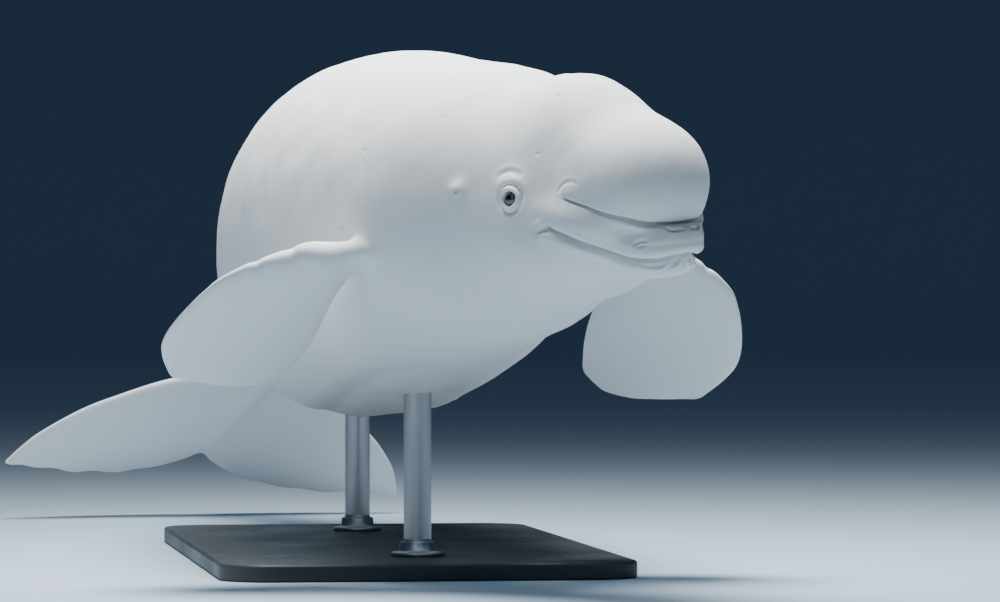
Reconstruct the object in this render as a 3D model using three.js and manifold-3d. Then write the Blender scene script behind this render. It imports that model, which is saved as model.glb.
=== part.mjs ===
// Beluga whale, adult, as a still life-size museum model on a plain stand.
// Millimetres, +Z up. The nose points to -Y and the tail to +Y, and the animal's left is +X.
// The origin is the middle of the stand base's underside, and the floor is z = 0.
//
// The body is drawn straight first, by s (aft from the front of the head), y (left) and z (up)
// from the body's axis, and is then laid along a bent spine. Every part uses that same spine.
import * as THREE from 'three';
import { mergeVertices } from 'three/addons/utils/BufferGeometryUtils.js';
import Module from 'manifold-3d';

const wasm = await Module();
wasm.setup();

// Driving dimensions of the animal
const BODY_END = 3380; // where the tail stock ends inside the flukes
const GAP = 0.3; // between touching pieces
const AXIS_HEIGHT = 615; // spine above the floor at the chest
const CHEST_S = 1100; // place on the spine that the pose is set from
const CHEST_Y = -420; // where that place stands along the base
const NOSE_UP = 0.074; // radians, pitch of the chest
const BANK = 0.055; // radians, left side lower

// Bends of the spine: where, and how far the parts beyond turn (radians)
const BENDS = [
  { from: 300, to: 1000, turn: -0.522, pitch: -0.122, twist: -0.153 },
  { from: 1956, to: 3429, turn: 0.269, pitch: 0, twist: 0.035 },
  { from: 2309, to: 3492, turn: 0, pitch: -0.622, twist: 0 },
];

// Trunk sections: place, top, bottom, half width
const SECTIONS = [
  { s: 160, top: 45, bottom: -60, half: 60 },
  { s: 220, top: 110, bottom: -125, half: 112 },
  { s: 300, top: 160, bottom: -154, half: 147 },
  { s: 400, top: 200, bottom: -212, half: 184 },
  { s: 520, top: 226, bottom: -240, half: 232 },
  { s: 700, top: 243, bottom: -272, half: 246 },
  { s: 1000, top: 288, bottom: -304, half: 300 },
  { s: 1350, top: 312, bottom: -311, half: 312 },
  { s: 1750, top: 302, bottom: -309, half: 292 },
  { s: 2100, top: 258, bottom: -272, half: 246 },
  { s: 2450, top: 202, bottom: -176, half: 166 },
  { s: 2750, top: 145, bottom: -125, half: 102 },
  { s: 3000, top: 100, bottom: -90, half: 65 },
  { s: 3200, top: 58, bottom: -54, half: 52 },
  { s: 3380, top: 24, bottom: -24, half: 46 },
];

// Masses of the head: centre (s, y, z), radii, pitch and how softly each joins the rest
const HEAD_MASSES = [
  { name: 'melon', at: [151, 0, 38], radii: [125, 108, 106], pitch: -0.1, join: 50 },
  { name: 'crown', at: [272, 0, 60], radii: [126, 120, 147], pitch: 0, join: 64 },
  { name: 'cheek', at: [261, 50, -36], radii: [122, 101, 88], pitch: 0, join: 60 },
  { name: 'muzzle', at: [137, 0, -51], radii: [107, 78, 41], pitch: 0.06, join: 14 },
  { name: 'chin', at: [165, 0, -82], radii: [112, 66, 33], pitch: 0.05, join: 20 },
];
const HEAD_TO_NECK = { join: 80, least: 2, from: 150, to: 280 };

// Lines of the head, each as height z over s
const MELON_CREASE = [[-20, -27], [60, -22], [85, -13], [113, -4], [144, 9], [178, 21], [200, 28]];
const MOUTH_LINE = [[0, -71], [30, -73], [60, -80], [90, -78], [130, -66], [150, -53], [171, -40], [202, -25],
  [225, -14]];
const MOUTH_CORNER_S = 208;
const CREASE_END_S = 180;
const LIP_SWELL = 7;
const LOWER_LIP_SWELL = 5;
const LINE_RADIUS = 3.2; // half width of the groove of each line

const EYE = { s: 275, z: 22, ball: 14, inset: 9.5, lid: 13.5, lidThick: 4.6 };
const EAR = { s: 385, z: 35, bump: 13, rise: 4, hole: 2.2 };
const BLOWHOLE = { s: 340, arc: 27, spread: 1.15, radius: 2.6 };

// Fins and flukes: place out from the root, leading edge and trailing edge along s
const FLIPPER = {
  rootS: 599, rootY: 271, rootZ: -112, length: 325,
  chord: [[-150, -8, 10], [-115, -16, 10], [-80, -30, 10], [-45, -52, 22], [0, -96, 55], [45, -112, 85],
    [90, -127, 128], [136, -131, 164], [180, -119, 185], [220, -101, 183], [262, -76, 155], [296, -44, 108],
    [314, -6, 78], [325, 34, 60]],
  half: [[-150, 12], [-60, 18], [0, 26], [170, 18], [325, 6]],
  curl: 0.0002,
};
const FLIPPER_POSE = {
  right: { sweep: 0.561, droop: 0.577, twist: -0.876 },
  left: { sweep: 0.236, droop: 0.776, twist: -0.736 },
};
const FLUKE = {
  span: 456,
  chord: [[0, 3038, 3433], [32, 3073, 3459], [86, 3125, 3490], [171, 3169, 3512], [257, 3218, 3508], [343, 3279, 3486],
    [408, 3345, 3463], [440, 3399, 3454], [456, 3438, 3446]],
  half: [[0, 30], [110, 22], [320, 12], [456, 4]],
  droop: 0.00031,
};

// Where the body is parted, along s
const PARTS = [
  { name: 'head', to: 405 },
  { name: 'neck', to: 505 },
  { name: 'chest', to: 1250 },
  { name: 'belly', to: 2050 },
  { name: 'tail_stock', to: 3090 },
];

// Stand
const BASE = { length: 1500, width: 720, thick: 30, corner: 90, edge: 6 };
const RODS = [
  { name: 'stand_rod_front', s: 1020, radius: 24 },
  { name: 'stand_rod_rear', s: 1980, radius: 24 },
];

// Mesh sizes
const AROUND = 40;
const AXIS_RINGS = 34;
const NOSE_RINGS = 16;
const NOSE_CENTRE = { s: 200, z: -5 };

// Smooth curve through a few rising points, without overshoot
function curveThrough(points) {
  const n = points.length;
  const slope = [];
  for (let i = 0; i < n - 1; i += 1) {
    slope.push((points[i + 1][1] - points[i][1]) / (points[i + 1][0] - points[i][0]));
  }
  const tangent = [slope[0]];
  for (let i = 1; i < n - 1; i += 1) {
    const same = slope[i - 1] * slope[i] > 0;
    tangent.push(same ? (2 * slope[i - 1] * slope[i]) / (slope[i - 1] + slope[i]) : 0);
  }
  tangent.push(slope[n - 2]);
  return (x) => {
    const q = Math.min(Math.max(x, points[0][0]), points[n - 1][0]);
    let i = 0;
    while (i < n - 2 && q > points[i + 1][0]) i += 1;
    const width = points[i + 1][0] - points[i][0];
    const t = (q - points[i][0]) / width;
    const a = points[i][1] * (1 + 2 * t) * (1 - t) ** 2 + points[i + 1][1] * t * t * (3 - 2 * t);
    return a + width * (tangent[i] * t * (1 - t) ** 2 - tangent[i + 1] * t * t * (1 - t));
  };
}

const sectionTop = curveThrough(SECTIONS.map((c) => [c.s, c.top]));
const sectionBottom = curveThrough(SECTIONS.map((c) => [c.s, c.bottom]));
const sectionHalf = curveThrough(SECTIONS.map((c) => [c.s, c.half]));
const melonCrease = curveThrough(MELON_CREASE);
const mouthLine = curveThrough(MOUTH_LINE);

// Frames along the bent spine, every STEP mm, from the chest both ways
const STEP = 5;
const SPINE_FROM = -100;
const SPINE_TO = 3600;
const spine = makeSpine();

function turnRate(s) {
  const rate = new THREE.Vector3();
  for (const bend of BENDS) {
    const t = THREE.MathUtils.clamp((s - bend.from) / (bend.to - bend.from), 0, 1);
    const share = (6 * t * (1 - t)) / (bend.to - bend.from);
    rate.add(new THREE.Vector3(bend.twist, bend.pitch, bend.turn).multiplyScalar(share));
  }
  return rate;
}

function makeSpine() {
  const level = new THREE.Matrix4().makeBasis(
    new THREE.Vector3(0, -Math.cos(NOSE_UP), Math.sin(NOSE_UP)),
    new THREE.Vector3(1, 0, 0),
    new THREE.Vector3(0, Math.sin(NOSE_UP), Math.cos(NOSE_UP)),
  );
  const start = new THREE.Quaternion().setFromRotationMatrix(level);
  start.multiply(new THREE.Quaternion().setFromAxisAngle(new THREE.Vector3(1, 0, 0), -BANK));
  const count = Math.round((SPINE_TO - SPINE_FROM) / STEP) + 1;
  const middle = Math.round((CHEST_S - SPINE_FROM) / STEP);
  const frames = new Array(count);
  const walk = (direction) => {
    let turn = start.clone();
    let point = new THREE.Vector3(0, CHEST_Y, AXIS_HEIGHT);
    for (let i = middle; i >= 0 && i < count; i += direction) {
      frames[i] = { point: point.clone(), turn: turn.clone() };
      const rate = turnRate(SPINE_FROM + (i + direction / 2) * STEP).multiplyScalar(STEP * direction);
      const next = turn.clone().multiply(new THREE.Quaternion().setFromEuler(
        new THREE.Euler(rate.x, rate.y, rate.z, 'ZYX'),
      ));
      const ahead = new THREE.Vector3(1, 0, 0).applyQuaternion(turn.clone().slerp(next, 0.5));
      point = point.clone().addScaledVector(ahead, -STEP * direction);
      turn = next;
    }
  };
  walk(1);
  walk(-1);
  return frames;
}

function frameAt(s) {
  const u = THREE.MathUtils.clamp((s - SPINE_FROM) / STEP, 0, spine.length - 1.001);
  const i = Math.floor(u);
  const point = spine[i].point.clone().lerp(spine[i + 1].point, u - i);
  return { point, turn: spine[i].turn.clone().slerp(spine[i + 1].turn, u - i) };
}

// A point of the straight body, laid along the spine
function place(s, y, z) {
  const { point, turn } = frameAt(s);
  return point.add(new THREE.Vector3(0, y, z).applyQuaternion(turn));
}

// Signed distance of the straight body's surface, roughly in mm and negative inside
function smoothJoin(a, b, radius) {
  const h = THREE.MathUtils.clamp(0.5 + (0.5 * (b - a)) / radius, 0, 1);
  return b * (1 - h) + a * h - radius * h * (1 - h);
}

function massDistance(mass, s, y, z) {
  const ds = s - mass.at[0];
  const dz = z - mass.at[2];
  const along = ds * Math.cos(mass.pitch) + dz * Math.sin(mass.pitch);
  const up = -ds * Math.sin(mass.pitch) + dz * Math.cos(mass.pitch);
  const side = Math.abs(y) - mass.at[1];
  const [a, b, c] = mass.radii;
  const near = Math.hypot(along / a, side / b, up / c);
  return (near * (near - 1)) / (Math.hypot(along / (a * a), side / (b * b), up / (c * c)) + 1e-9);
}

function trunkDistance(s, y, z) {
  const top = sectionTop(s);
  const bottom = sectionBottom(s);
  const half = sectionHalf(s);
  const tall = (top - bottom) / 2;
  const up = (z - (top + bottom) / 2) / tall;
  const power = 2.08 + 0.06 * Math.tanh(3 * up);
  const round = (Math.abs(y / half) ** power + Math.abs(up) ** power) ** (1 / power);
  return (round - 1) * Math.min(half, tall);
}

const bell = (x) => Math.exp(-x * x);
const ramp = (x, from, to) => THREE.MathUtils.smoothstep(x, from, to);

// Low forms of the skin, in mm outwards
function relief(s, y, z) {
  let out = 0;
  if (s < 300) {
    const crease = melonCrease(s);
    const mouth = mouthLine(s);
    const middle = (crease + mouth) / 2;
    const band = (crease - mouth) / 2;
    const fade = 1 - ramp(s, 150, 250);
    out += LIP_SWELL * fade * bell((z - middle) / (0.8 * band));
    out += LOWER_LIP_SWELL * fade * bell((z - mouth + 16) / 13);
  }
  const browUp = Math.hypot((s - EYE.s - 4) / 26, (z - EYE.z - 24) / 14);
  out += 5 * bell(browUp) * ramp(Math.abs(y), 60, 90);
  const across = Math.abs(y);
  out += 14 * bell((across - 10) / 16) * ramp(z, 120, 180) * ramp(s, 1250, 1650) * (1 - ramp(s, 2200, 2500));
  const roll = bell((across - 120) / 60) * ramp(-z, 120, 200);
  out += 6 * roll * ramp(s, 1000, 1500) * (1 - ramp(s, 2300, 2700));
  return out;
}

function bodyDistance(s, y, z) {
  let head = massDistance(HEAD_MASSES[0], s, y, z);
  for (const mass of HEAD_MASSES.slice(1)) {
    head = smoothJoin(head, massDistance(mass, s, y, z), mass.join);
  }
  if (s < SECTIONS[0].s) return head - relief(s, y, z);
  const { join, least, from, to } = HEAD_TO_NECK;
  const soft = least + (join - least) * ramp(s, from, to);
  const whole = s > 700 ? trunkDistance(s, y, z) : smoothJoin(trunkDistance(s, y, z), head, soft);
  return whole - relief(s, y, z);
}

// Distance from a point inside to the surface, along a direction given as (s, y, z)
function reach(from, toward, grow) {
  let near = 0;
  let far = 480;
  for (let i = 0; i < 22; i += 1) {
    const t = (near + far) / 2;
    const d = bodyDistance(from[0] + toward[0] * t, from[1] + toward[1] * t, from[2] + toward[2] * t);
    if (d < grow) near = t;
    else far = t;
  }
  return near;
}

function surfacePoint(from, toward, grow = 0) {
  const t = reach(from, toward, grow);
  return [from[0] + toward[0] * t, from[1] + toward[1] * t, from[2] + toward[2] * t];
}

function surfaceNormal(point) {
  const e = 1;
  const d = bodyDistance(...point);
  const n = [0, 1, 2].map((k) => bodyDistance(...point.map((v, i) => (i === k ? v + e : v))) - d);
  const size = Math.hypot(...n);
  return n.map((v) => v / size);
}

// Closed geometry from rings of points, with a point at each end
function closeRings(rings, start, end) {
  const around = rings[0].length;
  const points = [...rings.flat(), start, end];
  const faces = [];
  for (let i = 0; i < rings.length - 1; i += 1) {
    for (let j = 0; j < around; j += 1) {
      const a = i * around + j;
      const b = i * around + ((j + 1) % around);
      faces.push(a, b, b + around, a, b + around, a + around);
    }
  }
  const first = points.length - 2;
  const last = (rings.length - 1) * around;
  for (let j = 0; j < around; j += 1) {
    const k = (j + 1) % around;
    faces.push(first, k, j, last + j, last + k, first + 1);
  }
  const geometry = new THREE.BufferGeometry().setFromPoints(points);
  geometry.setIndex(faces);
  return geometry;
}

function toSolid(geometry) {
  geometry.deleteAttribute('normal');
  geometry.deleteAttribute('uv');
  const merged = mergeVertices(geometry, 1e-4);
  const vertProperties = new Float32Array(merged.attributes.position.array);
  let triVerts = new Uint32Array(merged.index.array);
  if (signedVolume(vertProperties, triVerts) < 0) triVerts = triVerts.reverse();
  return new wasm.Manifold(new wasm.Mesh({ numProp: 3, vertProperties, triVerts }));
}

function signedVolume(vertices, triangles) {
  let six = 0;
  const corner = (k) => new THREE.Vector3().fromArray(vertices, 3 * triangles[k]);
  for (let k = 0; k < triangles.length; k += 3) six += corner(k).dot(corner(k + 1).cross(corner(k + 2)));
  return six / 6;
}

// The straight body's surface, moved out by grow and laid along the spine
function bodySolid(grow) {
  const rings = [];
  for (let i = 0; i < AXIS_RINGS; i += 1) {
    const t = 1 - i / (AXIS_RINGS - 1);
    const s = NOSE_CENTRE.s + (BODY_END - NOSE_CENTRE.s) * (0.72 * t ** 1.5 + 0.28 * t);
    const height = NOSE_CENTRE.z * (1 - ramp(s, NOSE_CENTRE.s, 600));
    rings.push(ringOf((angle) => surfacePoint([s, 0, height], [0, Math.cos(angle), Math.sin(angle)], grow)));
  }
  const nose = [NOSE_CENTRE.s, 0, NOSE_CENTRE.z];
  for (let i = 1; i < NOSE_RINGS; i += 1) {
    const polar = (Math.PI / 2) * (1 - i / NOSE_RINGS);
    rings.push(ringOf((angle) => surfacePoint(nose, [
      -Math.cos(polar), Math.sin(polar) * Math.cos(angle), Math.sin(polar) * Math.sin(angle),
    ], grow)));
  }
  const tip = place(...surfacePoint(nose, [-1, 0, 0], grow));
  return toSolid(closeRings(rings, place(BODY_END, 0, 0), tip));
}

function ringOf(pointAt) {
  return Array.from({ length: AROUND }, (_, j) => place(...pointAt((j / AROUND) * 2 * Math.PI)));
}

// Foil sections of a fin: out from the root, along the chord, and its thickness
function foilRings(outs, chord, half, toPoint) {
  const leading = curveThrough(chord.map((c) => [c[0], c[1]]));
  const trailing = curveThrough(chord.map((c) => [c[0], c[2]]));
  const thick = curveThrough(half);
  const sides = 8;
  return outs.map((out) => Array.from({ length: 2 * sides }, (_, j) => {
    const angle = (j / sides) * Math.PI;
    const x = (1 - Math.cos(angle)) / 2;
    const shape = 2.2 * Math.sqrt(x) * Math.max(1 - x, 0) ** 0.9 + 0.12 * Math.abs(Math.sin(angle));
    const side = Math.sign(Math.sin(angle)) * thick(out) * shape;
    const edge = leading(out);
    return toPoint(out, edge + (trailing(out) - edge) * x, side);
  }));
}

function middleOf(ring) {
  const sum = ring.reduce((total, point) => total.add(point), new THREE.Vector3());
  return sum.multiplyScalar(1 / ring.length);
}

function flipperSolid(side) {
  const pose = side > 0 ? FLIPPER_POSE.left : FLIPPER_POSE.right;
  const turn = new THREE.Matrix4().makeRotationX(-pose.droop);
  turn.multiply(new THREE.Matrix4().makeRotationZ(pose.sweep));
  turn.multiply(new THREE.Matrix4().makeRotationY(pose.twist));
  const root = frameAt(FLIPPER.rootS);
  const tip = FLIPPER.length;
  const outs = [-150, -120, -75, -49, 2, 48, 95, 136, 180, 220, 252, 276, 296, 310, 319, tip - 0.5];
  const rings = foilRings(outs, FLIPPER.chord, FLIPPER.half, (out, along, lift) => {
    const curled = lift + FLIPPER.curl * Math.max(out - 85, 0) ** 2;
    const local = new THREE.Vector3(-along, out, curled).applyMatrix4(turn);
    local.y = side * (local.y + FLIPPER.rootY);
    local.z += FLIPPER.rootZ;
    return local.applyQuaternion(root.turn).add(root.point);
  });
  return toSolid(closeRings(rings, middleOf(rings[0]), middleOf(rings[rings.length - 1])));
}

function flukesSolid() {
  const outward = [0, 29, 74, 120, 171, 210, 265, 312, 352, 386, 412, 431, 443, FLUKE.span - 1];
  const outs = [...outward.slice(1).reverse().map((v) => -v), ...outward];
  const mirrored = (list) => [...list.slice(1).reverse().map(([out, ...rest]) => [-out, ...rest]), ...list];
  const rings = foilRings(outs, mirrored(FLUKE.chord), mirrored(FLUKE.half), (out, along, lift) => place(
    along, out, lift - FLUKE.droop * out * out,
  ));
  return toSolid(closeRings(rings, middleOf(rings[0]), middleOf(rings[rings.length - 1])));
}

// A thin wall across the body at s
function crossCut(s, thick) {
  const { point, turn } = frameAt(s);
  const geometry = new THREE.BoxGeometry(thick, 900, 900);
  geometry.applyQuaternion(turn);
  geometry.translate(point.x, point.y, point.z);
  return toSolid(geometry);
}

// A thin wall down the middle of the flukes
function middleCut(from, to, thick) {
  const rings = [];
  for (let s = from; s <= to; s += 40) {
    rings.push([[-1, -1], [1, -1], [1, 1], [-1, 1]].map(([y, z]) => place(s, (y * thick) / 2, z * 200)));
  }
  return toSolid(closeRings(rings, middleOf(rings[0]), middleOf(rings[rings.length - 1])));
}

// Points where a line of the head, given as z over s, meets the skin
function linePath(height, endS, steps) {
  const pivot = 190;
  const at = (angle) => {
    let near = 0;
    let far = 260;
    for (let i = 0; i < 22; i += 1) {
      const t = (near + far) / 2;
      const s = pivot - t * Math.cos(angle);
      if (bodyDistance(s, t * Math.sin(angle), height(s)) < 0) near = t;
      else far = t;
    }
    const s = pivot - near * Math.cos(angle);
    return [s, near * Math.sin(angle), height(s)];
  };
  let widest = Math.PI / 4;
  while (at(widest)[0] < endS) widest += 0.01;
  return Array.from({ length: steps + 1 }, (_, i) => at(widest * ((2 * i) / steps - 1)));
}

// Groove of a line: a thin bar along its path, fading at both ends
function grooveSolid(path, radius) {
  const points = path.map((p) => place(...p));
  const curve = new THREE.CatmullRomCurve3(points);
  const steps = path.length - 1;
  const rings = [];
  for (let i = 0; i <= steps; i += 1) {
    const t = i / steps;
    const centre = curve.getPointAt(t);
    const along = curve.getTangentAt(t);
    const up = new THREE.Vector3(0, 0, 1).addScaledVector(along, -along.z).normalize();
    const out = new THREE.Vector3().crossVectors(along, up);
    const size = radius * (0.35 + 0.65 * Math.sqrt(Math.sin(Math.PI * Math.min(Math.max(t, 0.002), 0.998))));
    rings.push(Array.from({ length: 6 }, (_, j) => {
      const angle = (j / 6) * 2 * Math.PI;
      return centre.clone()
        .addScaledVector(up, size * Math.cos(angle))
        .addScaledVector(out, 1.5 * size * Math.sin(angle));
    }));
  }
  return toSolid(closeRings(rings, middleOf(rings[0]), middleOf(rings[steps])));
}

// Thin wall that parts the lower jaw: along the mouth line, then down behind the jaw
function jawCut() {
  const path = [];
  for (let s = -60; s <= MOUTH_CORNER_S; s += 14) path.push([s, mouthLine(s)]);
  path.push([262, -40], [286, -80], [300, -130], [306, -260]);
  const outline = new THREE.SplineCurve(path.map(([s, z]) => new THREE.Vector2(s, z))).getSpacedPoints(26);
  const rings = outline.map((p, i) => {
    const next = outline[Math.min(i + 1, outline.length - 1)];
    const last = outline[Math.max(i - 1, 0)];
    const across = next.clone().sub(last).rotateAround(new THREE.Vector2(), Math.PI / 2).setLength(GAP / 2);
    return [[-1, -1], [1, -1], [1, 1], [-1, 1]].map(([side, above]) => place(
      p.x + across.x * above, side * 260, p.y + across.y * above,
    ));
  });
  return toSolid(closeRings(rings, middleOf(rings[0]), middleOf(rings[rings.length - 1])));
}

// Ball, ring or other shape set on the skin: its middle, and the outward direction of the skin there
function seat(s, z, side, lift) {
  const point = surfacePoint([s, 0, z], [0, side, 0]);
  const normal = surfaceNormal(point);
  const { turn } = frameAt(point[0]);
  const out = new THREE.Vector3(-normal[0], normal[1], normal[2]).applyQuaternion(turn);
  return { centre: place(...point).addScaledVector(out, lift), out };
}

function setOn(geometry, { centre, out }) {
  geometry.applyQuaternion(new THREE.Quaternion().setFromUnitVectors(new THREE.Vector3(0, 0, 1), out));
  geometry.translate(centre.x, centre.y, centre.z);
  return toSolid(geometry);
}

const eyeBall = (side, grow) => setOn(
  new THREE.SphereGeometry(EYE.ball + grow, 14, 10), seat(EYE.s, EYE.z, side, -EYE.inset),
);

function eyelids(side) {
  const ring = new THREE.TorusGeometry(EYE.lid, EYE.lidThick, 6, 18);
  ring.scale(1.12, 1, 1);
  return setOn(ring, seat(EYE.s, EYE.z, side, 0.6));
}

function earBump(side) {
  const bump = new THREE.SphereGeometry(EAR.bump, 12, 8);
  bump.scale(1, 1, 0.55);
  return setOn(bump, seat(EAR.s, EAR.z, side, EAR.rise - 0.55 * EAR.bump));
}

function earHole(side) {
  const hole = new THREE.CylinderGeometry(EAR.hole, EAR.hole * 0.6, 9, 8);
  hole.rotateX(Math.PI / 2);
  return setOn(hole, seat(EAR.s, EAR.z - 3, side, EAR.rise - 3));
}

function blowholeGroove() {
  const path = Array.from({ length: 15 }, (_, i) => {
    const angle = BLOWHOLE.spread * ((2 * i) / 14 - 1);
    const s = BLOWHOLE.s - BLOWHOLE.arc * Math.cos(angle) + 0.6 * BLOWHOLE.arc;
    const y = BLOWHOLE.arc * Math.sin(angle);
    return surfacePoint([s, y, 0], [0, 0, 1]);
  });
  return grooveSolid(path, BLOWHOLE.radius);
}

function largest(solid) {
  return solid.decompose().reduce((best, piece) => (piece.volume() > best.volume() ? piece : best));
}

// The whole animal, parted with thin cuts
function bodyPieces() {
  let body = bodySolid(0).add(flukesSolid());
  for (const side of [-1, 1]) {
    body = body.add(eyelids(side)).add(earBump(side));
    body = body.subtract(eyeBall(side, GAP)).subtract(earHole(side));
  }
  body = body.subtract(grooveSolid(linePath(mouthLine, MOUTH_CORNER_S, 26), LINE_RADIUS));
  body = body.subtract(grooveSolid(linePath(melonCrease, CREASE_END_S, 24), LINE_RADIUS));
  body = body.subtract(blowholeGroove());
  for (const part of PARTS) body = body.subtract(crossCut(part.to, GAP));
  body = body.subtract(middleCut(PARTS[PARTS.length - 1].to, 3560, GAP)).subtract(jawCut());
  return body.decompose();
}

// Name each piece by a point that lies well inside it
function namePieces(pieces) {
  const flukeMiddle = 3250;
  const marks = [
    ['head', place(250, 0, 60)],
    ['lower_jaw', place(200, 0, -95)],
    ['neck', place(455, 0, 0)],
    ['chest', place(900, 0, 0)],
    ['belly', place(1650, 0, 0)],
    ['tail_stock', place(2500, 0, 0)],
    ['fluke_left', place(flukeMiddle, 150, -6)],
    ['fluke_right', place(flukeMiddle, -150, -6)],
  ];
  return marks.map(([name, mark]) => {
    const probe = toSolid(new THREE.SphereGeometry(6, 8, 6).translate(mark.x, mark.y, mark.z));
    const holding = pieces.filter((piece) => piece.intersect(probe).volume() > 1);
    return [name, holding.reduce((best, piece) => (piece.volume() > best.volume() ? piece : best))];
  });
}

function standBase() {
  const { length, width, thick, corner, edge } = BASE;
  const x = width / 2 - corner;
  const y = length / 2 - corner;
  const outline = new THREE.Shape();
  outline.absarc(x, y, corner - edge, 0, Math.PI / 2);
  outline.absarc(-x, y, corner - edge, Math.PI / 2, Math.PI);
  outline.absarc(-x, -y, corner - edge, Math.PI, 1.5 * Math.PI);
  outline.absarc(x, -y, corner - edge, 1.5 * Math.PI, 2 * Math.PI);
  const plate = new THREE.ExtrudeGeometry(outline, {
    depth: thick - 2 * edge, bevelThickness: edge, bevelSize: edge, bevelSegments: 1, curveSegments: 6,
  });
  return toSolid(plate.translate(0, 0, edge));
}

function standRod(rod, bodyGrown) {
  const foot = frameAt(rod.s).point;
  const low = BASE.thick + GAP;
  const collar = 26;
  const profile = [[0, low], [rod.radius + 22, low], [rod.radius + 22, low + 8], [rod.radius + 6, low + collar],
    [rod.radius, low + collar + 4], [rod.radius, AXIS_HEIGHT], [0, AXIS_HEIGHT]];
  const turned = new THREE.LatheGeometry(profile.map(([r, z]) => new THREE.Vector2(r, z)), 16);
  turned.rotateX(Math.PI / 2).translate(foot.x, foot.y, 0);
  const solid = toSolid(turned).subtract(bodyGrown);
  const pieces = solid.decompose();
  return pieces.reduce((best, piece) => (piece.boundingBox().min[2] < best.boundingBox().min[2] ? piece : best));
}

function meshOf(name, solid, material) {
  const { numProp, vertProperties, triVerts } = solid.getMesh();
  const geometry = new THREE.BufferGeometry();
  const position = new Float32Array((vertProperties.length / numProp) * 3);
  for (let i = 0; i < position.length / 3; i += 1) {
    for (let k = 0; k < 3; k += 1) position[3 * i + k] = vertProperties[numProp * i + k];
  }
  geometry.setAttribute('position', new THREE.BufferAttribute(position, 3));
  geometry.setIndex(new THREE.BufferAttribute(new Uint32Array(triVerts), 1));
  const mesh = new THREE.Mesh(geometry, material());
  mesh.name = name;
  return mesh;
}

const skin = () => new THREE.MeshStandardMaterial({ color: 0xe9edf0, roughness: 0.4, metalness: 0 });
const eyeDark = () => new THREE.MeshStandardMaterial({ color: 0x10141c, roughness: 0.1, metalness: 0 });
const paint = () => new THREE.MeshStandardMaterial({ color: 0x2b2f34, roughness: 0.5, metalness: 0.2 });

const animal = new THREE.Group();
const bodyGrown = bodySolid(GAP);
for (const [name, piece] of namePieces(bodyPieces())) animal.add(meshOf(name, piece, skin));
for (const side of [-1, 1]) {
  const hand = side > 0 ? 'left' : 'right';
  animal.add(meshOf(`fin_${hand}`, largest(flipperSolid(side).subtract(bodyGrown)), skin));
  animal.add(meshOf(`eye_${hand}`, eyeBall(side, 0), eyeDark));
}

const stand = new THREE.Group();
stand.add(meshOf('stand_base', standBase(), paint));
for (const rod of RODS) stand.add(meshOf(rod.name, standRod(rod, bodyGrown), paint));

const group = new THREE.Group();
group.add(animal, stand);

export default group;
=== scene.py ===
import math

import bmesh
import bpy
import numpy as np
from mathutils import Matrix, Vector
from mathutils.bvhtree import BVHTree
from mathutils.kdtree import KDTree


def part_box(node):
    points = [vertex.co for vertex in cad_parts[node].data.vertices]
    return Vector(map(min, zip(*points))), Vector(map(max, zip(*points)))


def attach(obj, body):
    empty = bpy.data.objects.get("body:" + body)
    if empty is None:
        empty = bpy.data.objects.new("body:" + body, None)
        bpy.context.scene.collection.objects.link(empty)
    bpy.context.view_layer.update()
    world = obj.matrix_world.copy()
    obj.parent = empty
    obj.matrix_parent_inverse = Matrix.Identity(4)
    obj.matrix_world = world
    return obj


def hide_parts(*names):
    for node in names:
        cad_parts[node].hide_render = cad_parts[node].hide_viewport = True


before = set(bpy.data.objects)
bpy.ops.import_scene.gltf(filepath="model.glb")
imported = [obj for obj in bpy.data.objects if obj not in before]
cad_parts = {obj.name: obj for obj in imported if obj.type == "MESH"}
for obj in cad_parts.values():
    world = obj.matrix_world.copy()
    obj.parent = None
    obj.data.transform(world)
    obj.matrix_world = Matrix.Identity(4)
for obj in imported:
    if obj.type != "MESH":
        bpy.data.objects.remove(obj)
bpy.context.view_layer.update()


# Camera. It stands level, nine metres from the middle of the stand and to the animal's right,
# and looks past the chest through a long lens, as the photograph does.
eye_point = bpy.data.cameras.new("camera")
eye_point.lens = 174.7
eye_point.sensor_width = 36
eye_point.clip_end = 60
camera = bpy.data.objects.new("camera", eye_point)
camera.location = (-1.029, -8.892, 0.4745)
camera.rotation_euler = (math.radians(90), 0, -0.139)
bpy.context.scene.collection.objects.link(camera)
bpy.context.scene.camera = camera


# The animal's straight body. Living skin over blubber, firm and smooth. It is drawn straight,
# in metres: s aft from the front of the head, y to the left, z up from the body's axis.
BODY_END = 3.380
SECTIONS = np.array([
    # s, top, bottom, half width
    (0.160, 0.045, -0.060, 0.060), (0.220, 0.110, -0.125, 0.112), (0.300, 0.160, -0.154, 0.147),
    (0.400, 0.200, -0.212, 0.184), (0.520, 0.226, -0.240, 0.232), (0.700, 0.243, -0.272, 0.246),
    (1.000, 0.288, -0.304, 0.300), (1.350, 0.312, -0.311, 0.312), (1.750, 0.302, -0.309, 0.292),
    (2.100, 0.258, -0.272, 0.246), (2.450, 0.202, -0.176, 0.166), (2.750, 0.145, -0.125, 0.102),
    (3.000, 0.100, -0.090, 0.065), (3.200, 0.058, -0.054, 0.052), (3.380, 0.024, -0.024, 0.046),
])
HEAD_MASSES = [
    # centre, radii, pitch, how softly it joins the rest: melon, crown, cheeks, muzzle, chin
    ((0.151, 0, 0.038), (0.125, 0.108, 0.106), -0.10, 0.050),
    ((0.272, 0, 0.060), (0.126, 0.120, 0.147), 0, 0.064),
    ((0.261, 0.050, -0.036), (0.122, 0.101, 0.088), 0, 0.060),
    ((0.137, 0, -0.051), (0.107, 0.078, 0.041), 0.06, 0.014),
    ((0.165, 0, -0.082), (0.112, 0.066, 0.033), 0.05, 0.020),
]
HEAD_TO_NECK = 0.080
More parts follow.
